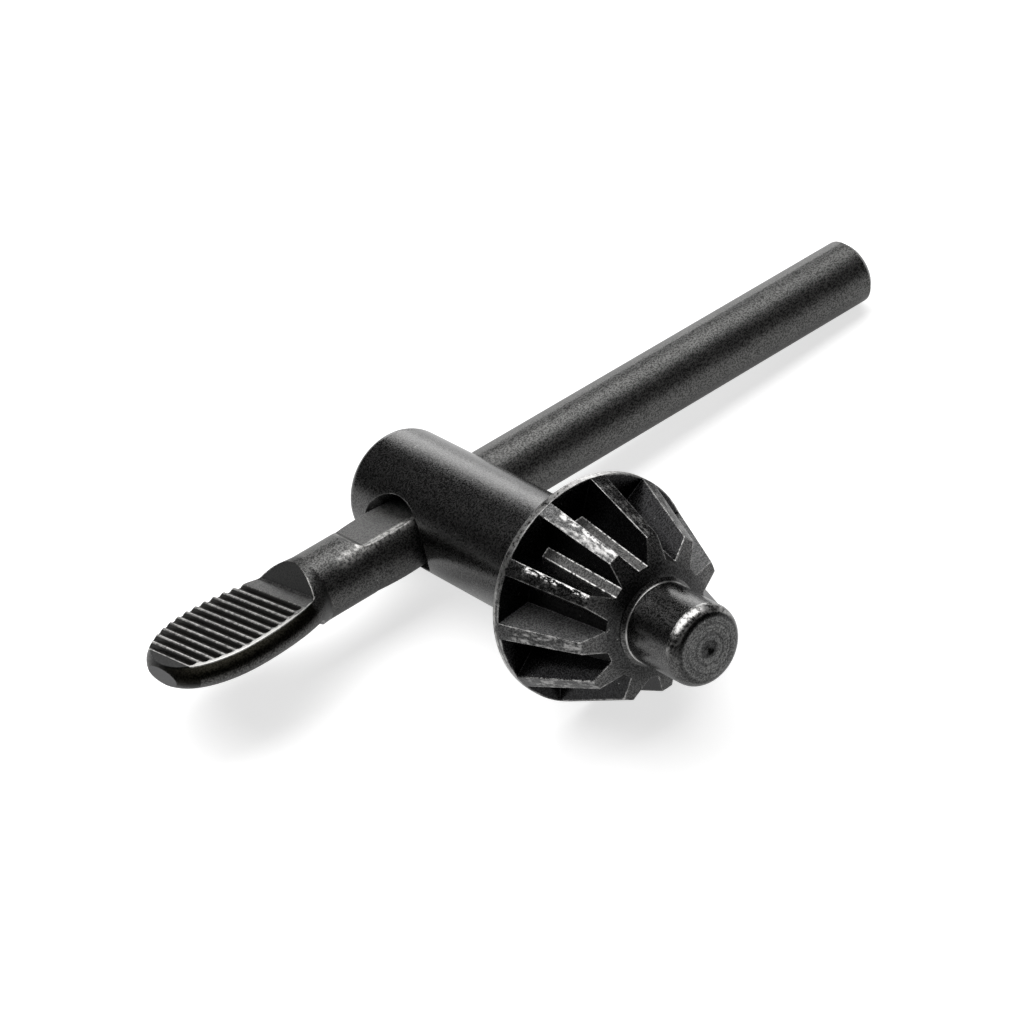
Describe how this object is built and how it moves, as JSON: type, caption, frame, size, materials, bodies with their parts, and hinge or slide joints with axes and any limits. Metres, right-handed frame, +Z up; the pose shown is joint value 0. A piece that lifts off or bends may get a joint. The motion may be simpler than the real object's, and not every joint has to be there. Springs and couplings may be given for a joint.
{
  "type": "drill chuck key",
  "caption": "Blackened steel key for a geared drill chuck: a toothed bevel pinion with a pilot pin, turned by a cross bar that ends in a flattened, ribbed thumb pad.",
  "frame": {"origin": "under the middle of the key's box, at the height of the table that it rests on", "axes": "+Z up; the bar's long end points towards +X and slightly down; the pilot pin points towards -Y and slightly up"},
  "size_m": [0.0892, 0.0504, 0.0224],
  "materials": {
    "blackened_pinion": "black oxide over turned and milled steel, bright where the tooth lands and edges are worn",
    "blackened_bar": "black oxide over drawn bar, satin and finely grained, bright on the pad's rib crests and border"
  },
  "bodies": {
    "root": {"pinion": "blackened_pinion", "tee_handle": "blackened_bar"}
  },
  "joints": []
}
